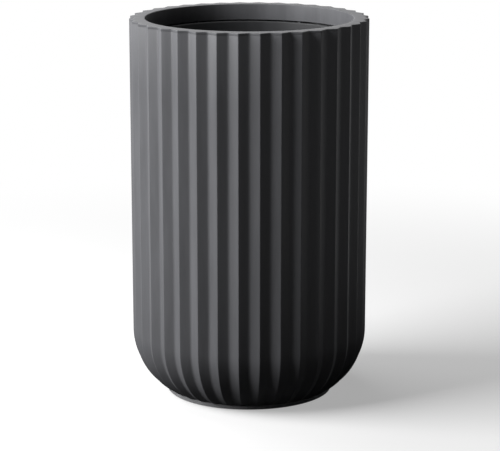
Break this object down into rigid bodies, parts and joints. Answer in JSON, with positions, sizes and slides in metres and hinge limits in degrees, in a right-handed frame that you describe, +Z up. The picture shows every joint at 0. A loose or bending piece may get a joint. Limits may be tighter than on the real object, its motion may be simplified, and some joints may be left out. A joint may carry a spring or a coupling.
{
  "type": "floor planter",
  "caption": "Tall round column planter with a V-fluted wall, curved base and plinth ring, flat rim, lift-out planting insert and drain plug.",
  "frame": {"origin": "on the floor plane, at the centre of the planter's base", "axes": "+Z up along the planter's axis, -Y towards the front, where a flute valley faces the viewer"},
  "size_m": [0.3796, 0.3796, 0.6096],
  "materials": {
    "shell": "satin charcoal moulded plastic",
    "plinth": "satin charcoal moulded plastic",
    "insert_plastic": "satin black moulded plastic",
    "screw_steel": "zinc plated steel",
    "pad_rubber": "matte black rubber",
    "plug_rubber": "matte black rubber"
  },
  "bodies": {
    "planter": {"fluted_body": "shell", "rim_ring": "shell", "foot_ring": "plinth", "foot_screws": "screw_steel", "foot_pads": "pad_rubber"},
    "insert": {"insert_pot": "insert_plastic"},
    "plug": {"drain_plug": "plug_rubber"}
  },
  "joints": [
    {"name": "insert_lift", "type": "slide", "parent": "planter", "child": "insert", "axis": [0, 0, 1], "range_m": [0, 0.35]},
    {"name": "plug_pull", "type": "slide", "parent": "planter", "child": "plug", "axis": [0, 0, 1], "range_m": [0, 0.06]}
  ]
}
